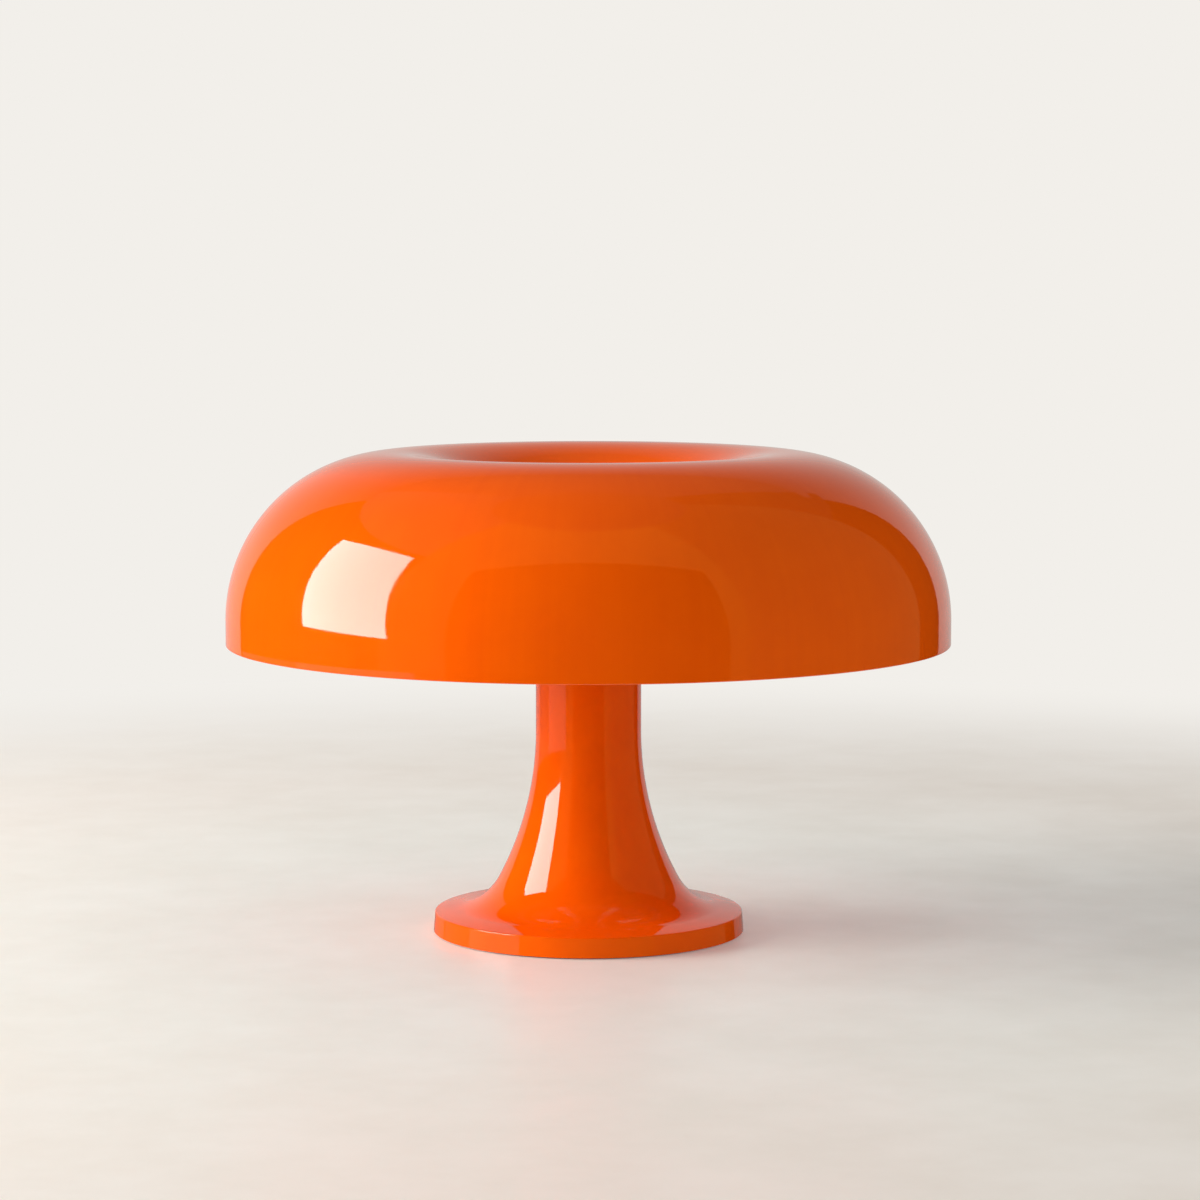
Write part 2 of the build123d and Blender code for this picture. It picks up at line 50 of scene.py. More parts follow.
scene = bpy.context.scene
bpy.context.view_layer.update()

# %% [markdown]
# ## The camera
# The camera comes first, because all that follows is judged through it.
# Its place and lens were worked out from the lamp's outlines: it stands 2.66 m away, half a metre up.
# A long lens this far off keeps the foot and the shade in nearly the same scale.

# %% Camera
CAMERA_PLACE = (0.0086, -2.6577, 0.5102)
CAMERA_DIP = 5.602
SENSOR_MM, LENS_MM = 36, 107.2


def put(name, data):
    """A new object in the scene."""
    made = bpy.data.objects.new(name, data)
    scene.collection.objects.link(made)
    return made


camera_data = bpy.data.cameras.new("camera")
camera_data.sensor_width = SENSOR_MM
camera_data.lens = LENS_MM
camera = put("camera", camera_data)
camera.location = CAMERA_PLACE
camera.rotation_euler = (math.radians(90 - CAMERA_DIP), 0, 0)
scene.camera = camera
scene.view_settings.view_transform = "Standard"
print("camera looks down by", CAMERA_DIP, "degrees through", LENS_MM, "mm")

# %% [markdown]
# ## Helpers for colours and nodes
# A colour is given as an sRGB hex value, but Blender's shaders work in linear light.
# One function turns the first into the second. Another adds a node with its settings and links:
# where a setting is a number or a word it is filled in, and where it is a node it is linked.

# %% Colour and node helpers
MM = 0.001


def linear(hex_colour):
    """sRGB hex such as #F35D02 as linear red, green, blue and alpha."""
    values = [int(hex_colour[i : i + 2], 16) / 255 for i in (1, 3, 5)]
    curve = [v / 12.92 if v <= 0.04045 else ((v + 0.055) / 1.055) ** 2.4 for v in values]
    return (*curve, 1.0)


def per_metre(size_mm):
    """Texture scale whose features repeat about once in this many millimetres."""
    return 1000 / size_mm


def add(tree, kind, settings=None):
    """Add a shader node. Each setting fills a property or a socket; a node stands for its first output."""
    made = tree.nodes.new("ShaderNode" + kind)
    for name, value in (settings or {}).items():
        if isinstance(value, bpy.types.Node):
            value = value.outputs[0]
        if isinstance(value, bpy.types.NodeSocket):
            tree.links.new(value, made.inputs[name])
        elif isinstance(name, str) and hasattr(made, name):
            setattr(made, name, value)
        else:
            made.inputs[name].default_value = value
    return made


def new_finish(name, colour, roughness, ior=1.5, metallic=0.0):
    """A material with one Principled shader and plain values, and the coordinates for its patterns."""
    material = bpy.data.materials.new(name)
    material.use_nodes = True
    tree = material.node_tree
    shader = tree.nodes["Principled BSDF"]
    shader.inputs["Base Color"].default_value = linear(colour)
    shader.inputs["Roughness"].default_value = roughness
    shader.inputs["Metallic"].default_value = metallic
    if metallic < 1:
        shader.inputs["IOR"].default_value = ior
    material.diffuse_color = linear(colour)
    place = add(tree, "TexCoord").outputs["Object"]
    return material, tree, shader, place


def dress(tree, shader, colour, rough, surface):
    """Link a colour mix, a roughness and a bump to the shader."""
    tree.links.new(colour.outputs[2], shader.inputs["Base Color"])
    tree.links.new(rough.outputs[0], shader.inputs["Roughness"])
    tree.links.new(surface.outputs[0], shader.inputs["Normal"])


def seen_by_eye(tree):
    """1 for rays from the camera or met in gloss or glass, 0 for the light that falls on things."""
    path = add(tree, "LightPath").outputs
    seen = add(tree, "Math", {"operation": "MAXIMUM", 0: path["Is Camera Ray"], 1: path["Is Glossy Ray"]})
    return add(tree, "Math", {"operation": "MAXIMUM", 0: seen, 1: path["Is Transmission Ray"]})


def one_sided(tree, front):
    """A surface that shows this shader on its front and is clear from the back."""
    side = add(tree, "NewGeometry")
    clear = add(tree, "BsdfTransparent")
    return add(tree, "MixShader", {0: side.outputs["Backfacing"], 1: front, 2: clear})


print("orange in linear light:", [round(v, 4) for v in linear("#F35D02")])

# %% [markdown]
# ## The surroundings
# The lamp stands in a white room. Far off, the floor fades into the world's pale tone, so no horizon shows.
# Only rays from the camera, or seen in gloss or glass, get that pale tone: the light on the lamp stays plain.
# That light comes more from the walls than from the ceiling, so the funnel and the top stay a little darker.

# %% World
BACKDROP = "#F2EFEA"
FILL_WALLS, FILL_CEILING = 0.74, 0.44

world = bpy.data.worlds.new("studio_room")
scene.world = world
world.use_nodes = True
sky = world.node_tree
sky.nodes.clear()
way = add(sky, "TexCoord")
height = add(sky, "SeparateXYZ", {0: way.outputs["Generated"]})
fill = add(sky, "MapRange", {"Value": height.outputs["Z"], "To Min": FILL_WALLS, "To Max": FILL_CEILING})
room_light = add(sky, "Background", {"Color": linear("#FFFDFA"), "Strength": fill})
room_seen = add(sky, "Background", {"Color": linear(BACKDROP), "Strength": 1.0})
room = add(sky, "MixShader", {0: seen_by_eye(sky), 1: room_light, 2: room_seen})
add(sky, "OutputWorld", {"Surface": room})
print("world: fill", FILL_WALLS, "from the walls,", FILL_CEILING, "from above")

# %% [markdown]
# ## The floor
# A ground concrete floor under a satin varnish: pale, cloudy from trowelling, and a little mirror-like.
# Clouds some 150 mm wide drift between two tones, and the varnish is smoother where it is thicker.
# The clouds are kept faint, because the floor is only there to carry the lamp's shadow.
# Orange light bounced off the lamp would dye a white floor pink. In a product photo that is toned down,
# so the floor gets a painted cool tint round the foot, which cancels most of that bounce light, and a faint
# painted glow that lightens the floor and the lamp's shadow there.

# %% Floor
FLOOR_REACH = 9.0
FLOOR_TONES = ("#F6F3EE", "#EFEBE5")
FLOOR_GLOSS = (0.33, 0.46)
CLOUD_MM = 150
PAINTED_BOUNCE_TINT = "#E2F1F2"
PAINTED_FLOOR_GLOW = 0.13
PAINTED_LIGHT_REACH = (0.12, 0.85)
FADE = (0.75, 1.6)

floor_material, tree, shader, place = new_finish("sealed_concrete", FLOOR_TONES[0], 0.4, ior=1.45)
cloud_look = {"Scale": per_metre(CLOUD_MM), "Detail": 5.0, "Roughness": 0.6}
cloud = add(tree, "TexNoise", {"Vector": place, **cloud_look})
cloud_range = {"Value": cloud, "From Min": 0.35, "From Max": 0.65}
tone = add(tree, "MapRange", cloud_range)
gloss = add(tree, "MapRange", {**cloud_range, "To Min": FLOOR_GLOSS[0], "To Max": FLOOR_GLOSS[1]})
pale = add(tree, "Mix", {"data_type": "RGBA", 0: tone, 6: linear(FLOOR_TONES[0]), 7: linear(FLOOR_TONES[1])})

away = add(tree, "VectorMath", {"operation": "LENGTH", 0: place}).outputs["Value"]
smooth_range = {"interpolation_type": "SMOOTHSTEP", "Value": away}
# Painted light near the foot: a cool tint against the orange bounce light and a faint glow, both fading out
# with distance.
near_range = {"From Min": PAINTED_LIGHT_REACH[0], "From Max": PAINTED_LIGHT_REACH[1], "To Min": 1.0, "To Max": 0.0}
near = add(tree, "MapRange", {**smooth_range, **near_range})
cooled = {"data_type": "RGBA", "blend_type": "MULTIPLY", 0: near, 6: pale.outputs[2], 7: linear(PAINTED_BOUNCE_TINT)}
colour = add(tree, "Mix", cooled)
# The painted glow: the floor emits a little light near the foot, so it and the shadow there look lighter.
painted_glow = add(tree, "Math", {"operation": "MULTIPLY", 0: near, 1: PAINTED_FLOOR_GLOW})
tree.links.new(colour.outputs[2], shader.inputs["Base Color"])
tree.links.new(gloss.outputs[0], shader.inputs["Roughness"])
tree.links.new(painted_glow.outputs[0], shader.inputs["Emission Strength"])

fade = add(tree, "MapRange", {**smooth_range, "From Min": FADE[0], "From Max": FADE[1]})
backdrop_tone = add(tree, "Emission", {"Color": linear(BACKDROP), "Strength": 1.0})
share = add(tree, "Math", {"operation": "MULTIPLY", 0: seen_by_eye(tree), 1: fade})
faded = add(tree, "MixShader", {0: share, 1: shader, 2: backdrop_tone})
tree.links.new(one_sided(tree, faded).outputs[0], tree.nodes["Material Output"].inputs["Surface"])

floor_mesh = bpy.data.meshes.new("floor")
shape = bmesh.new()
bmesh.ops.create_circle(shape, cap_ends=True, segments=96, radius=FLOOR_REACH)
shape.to_mesh(floor_mesh)
shape.free()
floor = put("floor", floor_mesh)
floor_mesh.materials.append(floor_material)
floor.visible_glossy = False
print("floor reaches", FLOOR_REACH, "m and fades from", FADE[0], "to", FADE[1], "m")

# %% [markdown]
# ## The key light
# One large soft light far out on the left shades the lamp, and its soft shadow falls to the right.
# It stands well away, so the floor is lit as evenly on the left as on the right.
# The light itself isn't seen in the gloss. What is seen there comes from the cards of the next steps.

# %% Key light
LAMP_MIDDLE = Vector((0, 0, 0.25))
KEY_AZIMUTH, KEY_ELEVATION, KEY_DISTANCE = -83, 17, 3.0
KEY_WIDTH, KEY_HEIGHT = 1.9, 1.7
KEY_WATTS = 118.0
KEY_COLOUR = "#FFF8F0"


def towards(azimuth, elevation, distance, start=LAMP_MIDDLE):
    """A point seen from start; azimuth 0 is towards the camera and grows to the right."""
    a, e = math.radians(azimuth), math.radians(elevation)
    return start + distance * Vector((math.sin(a) * math.cos(e), -math.cos(a) * math.cos(e), math.sin(e)))


key_data = bpy.data.lights.new("key", "AREA")
key_data.shape = "RECTANGLE"
key_data.size = KEY_WIDTH
key_data.size_y = KEY_HEIGHT
key_data.energy = KEY_WATTS
key_data.color = linear(KEY_COLOUR)[:3]
key = put("key", key_data)
key.location = towards(KEY_AZIMUTH, KEY_ELEVATION, KEY_DISTANCE)
key.rotation_euler = (LAMP_MIDDLE - key.location).to_track_quat("-Z", "Y").to_euler()
key.visible_glossy = False
key.visible_camera = False
print("key light at", [round(v, 2) for v in key.location])

# %% [markdown]
# ## Cards for the gloss
# Glossy plastic is a mirror over a colour, and a studio is built out of what that mirror shows.
# A card is a glowing sheet that only reflected rays meet: no camera ray, shadow or soft light knows of it.
# Each one also glows only towards the lamp, so that the floor beyond it shows no trace of it.

# %% Card helpers


def card(name, rows, glows, colour="#FFFFFF"):
    """A sheet from rows of points, each row with its own glow, that only reflections see."""
    mesh = bpy.data.meshes.new(name)
    width = len(rows[0])
    faces = [
        (r * width + c, (r + 1) * width + c, (r + 1) * width + c + 1, r * width + c + 1)
        for r in range(len(rows) - 1)
        for c in range(width - 1)
    ]
    mesh.from_pydata([tuple(p) for row in rows for p in row], [], faces)
    glow = mesh.attributes.new("glow", "FLOAT", "POINT")
    for r, strength in enumerate(glows):
        for c in range(width):
            glow.data[r * width + c].value = strength

    material = bpy.data.materials.new(name)
    material.use_nodes = True
    tree = material.node_tree
    tree.nodes.clear()
    strength = add(tree, "Attribute", {"attribute_name": "glow"}).outputs["Fac"]
    light = add(tree, "Emission", {"Color": linear(colour), "Strength": strength})
    add(tree, "OutputMaterial", {"Surface": one_sided(tree, light)})
    mesh.materials.append(material)

    made = put(name, mesh)
    made.visible_camera = False
    made.visible_diffuse = False
    made.visible_shadow = False
    made.visible_transmission = False
    made.visible_volume_scatter = False


def round_card(name, azimuths, elevations, glows, colour="#FFFFFF", distance=1.6):
    """Part of a sphere round the lamp; its glow goes evenly from the low edge to the high one."""
    across = max(2, int(abs(azimuths[1] - azimuths[0]) / 5) + 1)
    up = max(2, int(abs(elevations[1] - elevations[0]) / 4) + 1)
    turns = [azimuths[0] + (azimuths[1] - azimuths[0]) * c / (across - 1) for c in range(across)]
    rows, strengths = [], []
    for r in range(up):
        t = r / (up - 1)
        elevation = elevations[0] + (elevations[1] - elevations[0]) * t
        rows.append([towards(turn, elevation, distance) for turn in turns])
        strengths.append(glows[0] + (glows[1] - glows[0]) * t)
    card(name, rows, strengths, colour)


# %% [markdown]
# ## The softbox
# The bright patch on the left of the shade, and the slim one on the flare, are one softbox in the mirror.
# Each of its corners lies in the direction in which a ray leaves a point on the shade, in metres,
# where the camera is to see that corner. So the patch gets the right outline on a curved surface.

# %% Softbox
SOFTBOX_CORNERS = {
    "top_left": ((-112.3, 37.6), (-0.170, -0.178, 0.309)),
    "top_right": ((-75.1, 45.4), (-0.119, -0.223, 0.300)),
    "low_right": ((-64.2, 0.7), (-0.137, -0.232, 0.246)),
    "low_left": ((-99.2, 1.3), (-0.198, -0.182, 0.249)),
}
SOFTBOX_DISTANCE = 1.15
SOFTBOX_GLOWS = (12.8, 10.6)
corner = {
    name: towards(*direction, SOFTBOX_DISTANCE, Vector(start))
    for name, (direction, start) in SOFTBOX_CORNERS.items()
}
softbox_rows = [[corner["low_left"], corner["low_right"]], [corner["top_left"], corner["top_right"]]]
card("softbox", softbox_rows, SOFTBOX_GLOWS, "#FFF9F5")
print("softbox is", round((corner["low_left"] - corner["low_right"]).length, 2), "m wide")

# %% [markdown]
# ## The screen and the room
# A black screen in front of the lamp keeps the front deep.
# The room past the screen glows warm in front, dim on the right and paler behind.
# Each row of the list is one part of a sphere round the lamp, given in degrees.

# %% Screen and room cards
SCREEN_HALF = 0.294
SCREEN_AWAY = 0.455
SCREEN_LOW, SCREEN_TOP = 0.001, 0.597
LOW, HIGH = -24, 72
ROOM_CARDS = [
    # name, azimuths, elevations, glow at the low and at the high edge, colour
    ("room_front", (-62, 47), (LOW, HIGH), (0.45, 0.7), "#FFC05A"),
    ("room_left", (-132, -62), (LOW, 44), (0.12, 0.12), "#FFB34D"),
    ("room_right", (47, 118), (LOW, HIGH), (0.22, 0.20), "#FFE08C"),
    ("room_right_edge", (118, 135), (LOW, 40), (0.01, 0.03), "#FFE08C"),
    ("room_right_top", (118, 140), (40, HIGH), (0.05, 0.06), "#FFE6C0"),
    ("room_left_top", (-140, -62), (44, HIGH), (0.20, 0.15), "#FFF0E0"),
    ("room_back_floor", (135, 228), (LOW, -5), (0.05, 0.62), "#FFFAF4"),
    ("room_back_low", (135, 228), (-5, 8), (0.62, 0.62), "#FFFAF4"),
    ("room_back_high", (135, 228), (8, 45), (0.62, 0.12), "#FFFAF4"),
    ("room_back_top", (140, 220), (45, HIGH), (0.10, 0.11), "#FFF4E8"),
    ("room_ceiling", (-180, 180), (HIGH, 90), (0.11, 0.09), "#FFE8D0"),
]
screen_rows = [[(x, -SCREEN_AWAY, z) for x in (-SCREEN_HALF, SCREEN_HALF)] for z in (SCREEN_LOW, SCREEN_TOP)]
card("black_screen", screen_rows, (0.0, 0.0))
for row in ROOM_CARDS:
    round_card(*row)
print(len(ROOM_CARDS), "room cards and a screen")

# %% [markdown]
# The lamp's gloss doesn't see the real floor: a bright floor would make the stem pale all round.
# Two low strips of card on the left stand for the lit floor, and leave one pale streak on the stem.

# %% Floor strips
STRIP_ELEVATIONS, STRIP_COLOUR, STRIP_DISTANCE = (-22, -7.5), "#FFF6EC", 1.5
round_card("floor_strip_bright", (-95, -50), STRIP_ELEVATIONS, (0.6, 0.6), STRIP_COLOUR, STRIP_DISTANCE)
round_card("floor_strip_dim", (-130, -95), STRIP_ELEVATIONS, (0.2, 0.2), STRIP_COLOUR, STRIP_DISTANCE)
print("two floor strips, from", STRIP_ELEVATIONS[0], "to", STRIP_ELEVATIONS[1], "degrees")

# %% [markdown]
# ## Glossy orange ABS
# Shade, pedestal, cap nut and button are injection-moulded ABS, taken from a polished steel mould.
# To the eye that is a deep, even orange under a clear sharp gloss with the faintest waves in it,
# because thick plastic shrinks a little unevenly as it cools.
# In the shade the melt ran outwards from a gate in the middle, and left fine lines along its path.
# A Principled shader with ABS's own IOR of 1.53 and a low roughness gives that.

# %% ABS finish
ABS_ORANGE = "#F35D02"
ABS_DEEPER = "#EF5802"
ABS_GLOSS = (0.03, 0.06)
SHRINK_WAVE_MM = 55
FLOW_TURNS = 26.0
FLOW_DRIFT = 5.0


def abs_finish(name, flow_lines):
    """Injection-moulded ABS; flow_lines adds the faint lines that run outwards from a centre gate."""
    material, tree, shader, place = new_finish(name, ABS_ORANGE, 0.04, ior=1.53)
    wave = add(tree, "TexNoise", {"Vector": place, "Scale": per_metre(SHRINK_WAVE_MM), "Detail": 1.0})
    surface = add(tree, "Bump", {"Strength": 0.10, "Distance": 0.0006, "Height": wave})
    pigment = add(tree, "TexNoise", {"Vector": place, "Scale": per_metre(28), "Detail": 3.0})
    if flow_lines:
        flat = add(tree, "VectorMath", {"operation": "MULTIPLY", 0: place, 1: (1, 1, 0)})
        round_way = add(tree, "VectorMath", {"operation": "NORMALIZE", 0: flat})
        out_way = add(tree, "VectorMath", {"operation": "LENGTH", 0: flat}).outputs["Value"]
        slow = add(tree, "Math", {"operation": "MULTIPLY", 0: out_way, 1: FLOW_DRIFT})
        along = add(tree, "CombineXYZ", {2: slow})
        polar = {"operation": "MULTIPLY_ADD", 0: round_way, 1: (FLOW_TURNS,) * 3, 2: along}
        polar = add(tree, "VectorMath", polar)
        lines = add(tree, "TexNoise", {"Vector": polar, "Scale": 1.0, "Detail": 3.0, "Roughness": 0.65})
        flow = {"Strength": 0.05, "Distance": 0.0004, "Height": lines, "Normal": surface}
        surface = add(tree, "Bump", flow)
        pigment = add(tree, "Mix", {0: 0.5, 2: pigment, 3: lines})
    mottle = add(tree, "MapRange", {"Value": pigment, "From Min": 0.3, "From Max": 0.7})
    colour = add(tree, "Mix", {"data_type": "RGBA", 0: mottle, 6: linear(ABS_ORANGE), 7: linear(ABS_DEEPER)})
    handled = add(tree, "TexNoise", {"Vector": place, "Scale": per_metre(70), "Detail": 4.0})
    gloss = {"Value": handled, "From Min": 0.35, "From Max": 0.7}
    gloss = add(tree, "MapRange", {**gloss, "To Min": ABS_GLOSS[0], "To Max": ABS_GLOSS[1]})
    dress(tree, shader, colour, gloss, surface)
    return material


abs_shade = abs_finish("abs_shade", True)
finishes = {"orange_moulding": abs_finish("abs_moulding", False)}
print("ABS roughness goes from", ABS_GLOSS[0], "to", ABS_GLOSS[1])

# %% [markdown]
# ## Black nitrile rubber
# The foot's pad, the shade's gasket, the washer under the cap nut and the cord's bush are black rubber.
# Rubber is matt from its mould's fine blasted grain, and grey-brown dust settles into that grain.
# A real grain is about 0.1 mm; it is drawn at 0.6 mm here, so that a picture can show it.

# %% Rubber finish
RUBBER_BLACK, DUST = "#1B1A19", "#3A3631"

material, tree, shader, place = new_finish("nitrile_rubber", RUBBER_BLACK, 0.6, ior=1.52)
dust = add(tree, "TexNoise", {"Vector": place, "Scale": per_metre(14), "Detail": 5.0})
settled = add(tree, "MapRange", {"Value": dust, "From Min": 0.45, "From Max": 0.75, "To Max": 0.6})
colour = add(tree, "Mix", {"data_type": "RGBA", 0: settled, 6: linear(RUBBER_BLACK), 7: linear(DUST)})
rough = add(tree, "MapRange", {"Value": dust, "To Min": 0.52, "To Max": 0.75})
grain = add(tree, "TexNoise", {"Vector": place, "Scale": per_metre(0.6), "Detail": 2.0})
surface = add(tree, "Bump", {"Strength": 0.35, "Distance": 0.00008, "Height": grain})
dress(tree, shader, colour, rough, surface)
finishes["black_rubber"] = material
print("rubber grain drawn at 0.6 mm")

# %% [markdown]
# ## Zinc-plated steel
# The base plate, the lamp carrier, the tube and its nuts are plain steel with a thin coat of zinc.
# Zinc gives a cool, cloudy silver. Under it the sheet's rolling lines still show, all one way,
# and the coat has small crystals a few millimetres wide that catch the light in slightly different tones.

# %% Zinc finish
material, tree, shader, place = new_finish("zinc_plated_steel", "#C3C6C9", 0.33, metallic=1.0)
crystals = add(tree, "TexVoronoi", {"Vector": place, "Scale": per_metre(3.5)})
tone = add(tree, "RGBToBW", {0: crystals.outputs["Color"]})
colour = add(tree, "Mix", {"data_type": "RGBA", 0: tone, 6: linear("#CBCED1"), 7: linear("#B4B8BC")})
stretch = add(tree, "VectorMath", {"operation": "MULTIPLY", 0: place, 1: (1, 0.02, 1)})
rolling = add(tree, "TexNoise", {"Vector": stretch, "Scale": per_metre(0.5), "Detail": 2.0})
rough = add(tree, "MapRange", {"Value": rolling, "To Min": 0.26, "To Max": 0.42})
surface = add(tree, "Bump", {"Strength": 0.15, "Distance": 0.00004, "Height": rolling})
dress(tree, shader, colour, rough, surface)
finishes["zinc_plated_steel"] = material
print("zinc crystals 3.5 mm wide")

# %% [markdown]
# ## Sand-cast iron
# The ballast is grey iron poured in a sand mould and dipped in black paint.
# The sand's grain stays on its skin as a coarse bump under the paint,
# and rust shows through in a few small patches where the paint ran thin.

# %% Iron finish
PAINT_BLACK, RUST = "#27282B", "#5A3420"

material, tree, shader, place = new_finish("painted_cast_iron", PAINT_BLACK, 0.5)
thin = add(tree, "TexNoise", {"Vector": place, "Scale": per_metre(11), "Detail": 6.0})
rust = add(tree, "MapRange", {"Value": thin, "From Min": 0.64, "From Max": 0.72})
colour = add(tree, "Mix", {"data_type": "RGBA", 0: rust, 6: linear(PAINT_BLACK), 7: linear(RUST)})
rough = add(tree, "MapRange", {"Value": thin, "To Min": 0.42, "To Max": 0.7})
sand = add(tree, "TexNoise", {"Vector": place, "Scale": per_metre(1.3), "Detail": 4.0})
surface = add(tree, "Bump", {"Strength": 0.6, "Distance": 0.0003, "Height": sand})
dress(tree, shader, colour, rough, surface)
finishes["ballast_iron"] = material
print("sand grain 1.3 mm")

# %% [markdown]
# ## White polyester
# The lampholders and the ring under the shade stand a lamp's heat, so they are glass-filled polyester.
# Its short glass fibres lie just under the skin and give a fine, slightly greyer fleck in warm white.
# Years of heat turn such plastic a little yellow, in broad soft patches.

# %% Polyester finish
material, tree, shader, place = new_finish("glass_filled_polyester", "#EAE7DD", 0.38, ior=1.57)
fibres = add(tree, "TexNoise", {"Vector": place, "Scale": per_metre(1.4), "Detail": 3.0})
fleck = add(tree, "MapRange", {"Value": fibres, "From Min": 0.5, "From Max": 0.7})
white = add(tree, "Mix", {"data_type": "RGBA", 0: fleck, 6: linear("#EDEAE1"), 7: linear("#DCD8CC")})
heat = add(tree, "TexNoise", {"Vector": place, "Scale": per_metre(24), "Detail": 1.0})
aged = add(tree, "MapRange", {"Value": heat, "From Min": 0.45, "From Max": 0.8, "To Max": 0.5})
colour = add(tree, "Mix", {"data_type": "RGBA", 0: aged, 6: white.outputs[2], 7: linear("#DFD0AC")})
rough = add(tree, "MapRange", {"Value": fibres, "To Min": 0.30, "To Max": 0.48})
surface = add(tree, "Bump", {"Strength": 0.15, "Distance": 0.00006, "Height": fibres})
dress(tree, shader, colour, rough, surface)
finishes["white_polyester"] = material
print("fibre fleck 1.4 mm")

# %% [markdown]
# ## Nylon, natural and black
# The terminal blocks are natural nylon: milky, so light goes a little way in before it comes back.
# The switch is the same plastic in black, with the dull grain that a spark-cut mould leaves.

# %% Nylon finishes
NYLONS = {
    # slot: two tones and how far light goes in
    "natural_nylon": ("#E3E0D4", "#D6D1BF", 0.25),
    "black_nylon": ("#1F2022", "#2B2C2E", 0.0),
}
for slot_name, (tone, other_tone, depth) in NYLONS.items():
    material, tree, shader, place = new_finish(slot_name, tone, 0.42, ior=1.53)
    shader.inputs["Subsurface Weight"].default_value = depth
    shader.inputs["Subsurface Scale"].default_value = 2 * MM
    melt = add(tree, "TexNoise", {"Vector": place, "Scale": per_metre(6), "Detail": 3.0})
    colour = add(tree, "Mix", {"data_type": "RGBA", 0: melt, 6: linear(tone), 7: linear(other_tone)})
    rough = add(tree, "MapRange", {"Value": melt, "To Min": 0.34, "To Max": 0.52})
    spark = add(tree, "TexNoise", {"Vector": place, "Scale": per_metre(0.5), "Detail": 2.0})
    surface = add(tree, "Bump", {"Strength": 0.25, "Distance": 0.00005, "Height": spark})
    dress(tree, shader, colour, rough, surface)
    finishes[slot_name] = material
print(len(NYLONS), "nylons, spark grain 0.5 mm")

# %% [markdown]
# ## Brass and nickel
# Screw shells, contacts and terminal screws are rolled brass; the bulbs' caps are nickel-plated.
# Brass darkens where it was touched, and nickel takes on a faint straw tint next to a hot lamp.
# Both keep the fine lines of the drawing tool. Metals keep the default IOR: their colour does the work.

# %% Brass and nickel finishes
METALS = {
    # slot: fresh tone, aged tone and lowest roughness
    "brass_strip": ("#D9B464", "#A98446", 0.22),
    "nickel_cap": ("#C9C4BB", "#BFA983", 0.18),
}
for slot_name, (fresh, aged_tone, smooth) in METALS.items():
    material, tree, shader, place = new_finish(slot_name, fresh, smooth, metallic=1.0)
    touched = add(tree, "TexNoise", {"Vector": place, "Scale": per_metre(8), "Detail": 5.0})
    patch = add(tree, "MapRange", {"Value": touched, "From Min": 0.4, "From Max": 0.7, "To Max": 0.7})
    colour = add(tree, "Mix", {"data_type": "RGBA", 0: patch, 6: linear(fresh), 7: linear(aged_tone)})
    rough = add(tree, "MapRange", {"Value": touched, "To Min": smooth, "To Max": smooth + 0.22})
    stretch = add(tree, "VectorMath", {"operation": "MULTIPLY", 0: place, 1: (0.05, 0.05, 1)})
    drawn = add(tree, "TexNoise", {"Vector": stretch, "Scale": per_metre(0.4), "Detail": 2.0})
    surface = add(tree, "Bump", {"Strength": 0.12, "Distance": 0.00003, "Height": drawn})
    dress(tree, shader, colour, rough, surface)
    finishes[slot_name] = material
print(" and ".join(METALS), "have drawing lines of 0.4 mm")

# %% [markdown]
# ## Opal glass
# A bulb's opal glass is milky all through and very smooth outside. Light goes into it and spreads,
# so its edge towards the shadow stays soft. Its blown wall is never quite even, which a slow wave shows.

# %% Opal finish
material, tree, shader, place = new_finish("opal_glass", "#F4F2EC", 0.07, ior=1.52)
shader.inputs["Subsurface Weight"].default_value = 0.35
shader.inputs["Subsurface Scale"].default_value = 4 * MM
milk = add(tree, "TexNoise", {"Vector": place, "Scale": per_metre(30), "Detail": 2.0})
colour = add(tree, "Mix", {"data_type": "RGBA", 0: milk, 6: linear("#F6F4EF"), 7: linear("#EFEBE1")})
rough = add(tree, "MapRange", {"Value": milk, "To Min": 0.05, "To Max": 0.11})
surface = add(tree, "Bump", {"Strength": 0.12, "Distance": 0.0005, "Height": milk})
dress(tree, shader, colour, rough, surface)
finishes["opal_glass"] = material
print("opal glass waves 30 mm")

# %% [markdown]
# ## Glass-fibre sleeving
# The leads inside a hot lamp wear a sleeve of varnished glass fibre.
# It is ivory, a little shiny from the varnish, and its braid gives a small regular bump, with painted shade
# that darkens the grooves between strands.

# %% Sleeving finish
material, tree, shader, place = new_finish("glass_fibre_sleeve", "#DDD7C8", 0.45)
braid = add(tree, "TexVoronoi", {"Vector": place, "Scale": per_metre(0.8)})
# Painted shade: the colour darkens away from each strand's middle into the grooves, where the bump is low.
colour = add(tree, "Mix", {"data_type": "RGBA", 0: braid, 6: linear("#E2DDCF"), 7: linear("#C6BEA9")})
rough = add(tree, "MapRange", {"Value": braid, "To Min": 0.36, "To Max": 0.6})
surface = add(tree, "Bump", {"invert": True, "Strength": 0.5, "Distance": 0.0001, "Height": braid})
dress(tree, shader, colour, rough, surface)
finishes["lead_insulation"] = material
print(len(finishes), "finishes in all")

# %% [markdown]
# ## Every CAD piece gets its finish
# The CAD model says which material each piece is made of. Its pieces keep their own meshes and places.
# Those with a finer visual version in the steps below are hidden by it.

# %% Finishes on the CAD pieces
slot_of = {row["node"]: row["material_slot"] for row in frame["record"]["subparts"]}
for name, node in frame["nodes"].items():
    node.data.materials.clear()
    node.data.materials.append(finishes[slot_of[name]])
print(len(frame["nodes"]), "CAD pieces have a finish")

